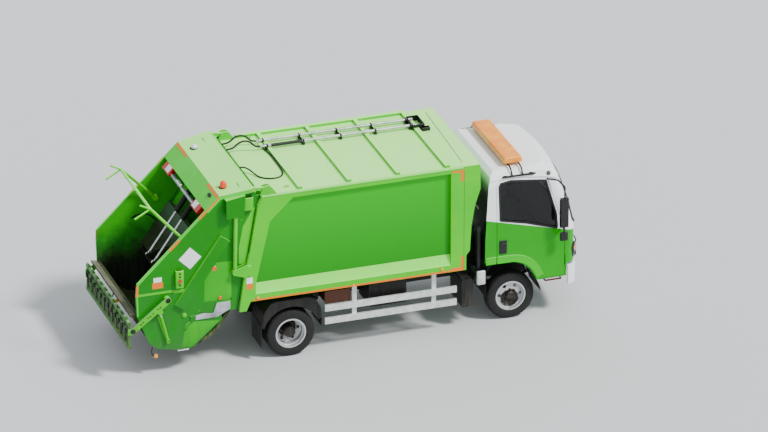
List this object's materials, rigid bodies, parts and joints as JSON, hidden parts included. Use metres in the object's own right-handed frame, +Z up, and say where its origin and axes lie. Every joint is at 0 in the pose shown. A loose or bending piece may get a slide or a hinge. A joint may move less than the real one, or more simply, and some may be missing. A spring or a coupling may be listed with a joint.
{
  "type": "garbage truck",
  "caption": "rear-loading garbage truck with a tilting cab, a ribbed refuse body, a hinged tailgate with packer blade, and a comb-shaped bin lift",
  "frame": {"origin": "on the road, under the centre of the truck's length and width", "axes": "+X forward, +Y to the truck's left, +Z up"},
  "size_m": [7.36, 2.33, 2.9966],
  "materials": {
    "chassis_paint": "satin black",
    "lime_paint": "bright green frame, worn",
    "panel_paint": "mid green",
    "roof_paint": "pale green, faded",
    "tail_paint": "deep green, worn",
    "arm_paint": "bright yellow-green",
    "cab_green": "green gloss",
    "cab_white": "white gloss",
    "tyre": "black",
    "rim_metal": "silver paint",
    "bare_steel": "bare, worn",
    "cylinder_rod": "bright rod",
    "black_plastic": "black moulding",
    "grey_guard": "silver rail",
    "glass_clear": "clear glass",
    "amber_plastic": "amber moulding",
    "red_plastic": "red lens",
    "lamp_glass": "clear lamp cover",
    "hose_rubber": "black hose",
    "seat_cloth": "dark cloth"
  },
  "bodies": {
    "chassis": {"chassis_frame": "chassis_paint", "engine": "chassis_paint", "front_axle": "chassis_paint", "rear_axle": "chassis_paint", "leaf_springs": "chassis_paint", "frame_boxes": "chassis_paint", "exhaust": "bare_steel", "side_guards": "grey_guard", "rear_mudguards": "chassis_paint", "body_floor": "lime_paint", "body_wall_left": "lime_paint", "body_wall_right": "lime_paint", "body_roof": "roof_paint", "body_front": "lime_paint", "roof_pipes": "bare_steel", "roof_hoses": "hose_rubber", "roof_cable": "hose_rubber", "air_intake": "black_plastic", "front_bumper": "cab_white"},
    "ejector": {"ejector_plate": "panel_paint"},
    "cab": {"cab_shell": "cab_green", "cab_glass": "glass_clear", "seats": "seat_cloth", "dashboard": "black_plastic", "roof_rack": "black_plastic", "light_bar": "amber_plastic", "headlamps": "lamp_glass", "front_grille": "black_plastic"},
    "door_left": {"door_left": "cab_green", "door_glass_left": "glass_clear", "mirror_left": "black_plastic"},
    "door_right": {"door_right": "cab_green", "door_glass_right": "glass_clear", "mirror_right": "black_plastic"},
    "steer_left": {"knuckle_left": "chassis_paint"},
    "steer_right": {"knuckle_right": "chassis_paint"},
    "wheel_front_left": {"front_tyre_left": "tyre", "front_rim_left": "rim_metal"},
    "wheel_front_right": {"front_tyre_right": "tyre", "front_rim_right": "rim_metal"},
    "wheels_rear_left": {"rear_tyres_left": "tyre", "rear_rims_left": "rim_metal"},
    "wheels_rear_right": {"rear_tyres_right": "tyre", "rear_rims_right": "rim_metal"},
    "tailgate": {"tailgate_side_left": "tail_paint", "tailgate_side_right": "tail_paint", "tailgate_roof": "roof_paint", "hopper_trough": "tail_paint", "lid_opener": "tail_paint", "rear_lamps": "red_plastic", "beacons": "amber_plastic", "packer_barrels": "tail_paint"},
    "lift_barrels": {"lift_barrels": "tail_paint"},
    "lift_rods": {"lift_rods": "cylinder_rod"},
    "bin_lift": {"bin_lift": "arm_paint"},
    "bin_barrels": {"bin_barrels": "arm_paint"},
    "bin_rods": {"bin_rods": "cylinder_rod"},
    "carriage": {"packer_carriage": "tail_paint", "packer_rods": "cylinder_rod"},
    "blade": {"sweep_blade": "bare_steel"}
  },
  "joints": [
    {"name": "ejector_slide", "type": "slide", "parent": "chassis", "child": "ejector", "axis": [-1, 0, 0], "range_m": [0, 2.9]},
    {"name": "cab_tilt", "type": "hinge", "parent": "chassis", "child": "cab", "pos_m": [3.62, 0, 0.845], "axis": [0, 1, 0], "range_deg": [0, 45]},
    {"name": "door_left_swing", "type": "hinge", "parent": "cab", "child": "door_left", "pos_m": [3.376, 0.974, 0.8], "axis": [0, 0, 1], "range_deg": [-65, 0]},
    {"name": "door_right_swing", "type": "hinge", "parent": "cab", "child": "door_right", "pos_m": [3.376, -0.974, 0.8], "axis": [0, 0, 1], "range_deg": [0, 65]},
    {"name": "steer_left_turn", "type": "hinge", "parent": "chassis", "child": "steer_left", "pos_m": [2.53, 0.67, 0.385], "axis": [0, 0, 1], "range_deg": [-32, 32]},
    {"name": "steer_right_turn", "type": "hinge", "parent": "chassis", "child": "steer_right", "pos_m": [2.53, -0.67, 0.385], "axis": [0, 0, 1], "range_deg": [-32, 32]},
    {"name": "wheel_front_left_spin", "type": "hinge", "parent": "steer_left", "child": "wheel_front_left", "pos_m": [2.53, 0.78, 0.385], "axis": [0, 1, 0], "continuous": true},
    {"name": "wheel_front_right_spin", "type": "hinge", "parent": "steer_right", "child": "wheel_front_right", "pos_m": [2.53, -0.78, 0.385], "axis": [0, 1, 0], "continuous": true},
    {"name": "wheels_rear_left_spin", "type": "hinge", "parent": "chassis", "child": "wheels_rear_left", "pos_m": [-1.07, 0.813, 0.385], "axis": [0, 1, 0], "continuous": true},
    {"name": "wheels_rear_right_spin", "type": "hinge", "parent": "chassis", "child": "wheels_rear_right", "pos_m": [-1.07, -0.813, 0.385], "axis": [0, 1, 0], "continuous": true},
    {"name": "tailgate_lift", "type": "hinge", "parent": "chassis", "child": "tailgate", "pos_m": [-1.45, 0, 2.85], "axis": [0, 1, 0], "range_deg": [0, 75], "deforming": ["roof_hoses", "roof_cable"]},
    {"name": "lift_barrel_tilt", "type": "hinge", "parent": "chassis", "child": "lift_barrels", "pos_m": [-1.973, 0, 1.575], "axis": [0, 1, 0], "range_deg": [0, 4.05]},
    {"name": "lift_rod_slide", "type": "slide", "parent": "lift_barrels", "child": "lift_rods", "axis": [0.0224, 0, 0.9997], "range_m": [0, 0.6758]},
    {"name": "carriage_slide", "type": "slide", "parent": "tailgate", "child": "carriage", "axis": [0.5736, 0, 0.8192], "range_m": [0, 0.65]},
    {"name": "blade_swing", "type": "hinge", "parent": "carriage", "child": "blade", "pos_m": [-2.8, 0, 1.17], "axis": [0, 1, 0], "range_deg": [0, 85]},
    {"name": "bin_lift_raise", "type": "hinge", "parent": "tailgate", "child": "bin_lift", "pos_m": [-3.038, 0, 1.282], "axis": [0, 1, 0], "range_deg": [0, 90]},
    {"name": "bin_barrel_tilt", "type": "hinge", "parent": "tailgate", "child": "bin_barrels", "pos_m": [-3.033, 0, 0.594], "axis": [0, 1, 0], "range_deg": [0, 1.03]},
    {"name": "bin_rod_slide", "type": "slide", "parent": "bin_barrels", "child": "bin_rods", "axis": [-0.2389, 0, 0.971], "range_m": [0, 0.3068]}
  ],
  "couplings": [
    {"joint": "steer_right_turn", "follows": "steer_left_turn", "ratio": 1},
    {"joint": "lift_barrel_tilt", "follows": "tailgate_lift", "ratio": 0.051304},
    {"joint": "lift_rod_slide", "follows": "tailgate_lift", "m_per_rad": 0.51552},
    {"joint": "bin_barrel_tilt", "follows": "bin_lift_raise", "ratio": 0.010306},
    {"joint": "bin_rod_slide", "follows": "bin_lift_raise", "m_per_rad": 0.19465}
  ]
}
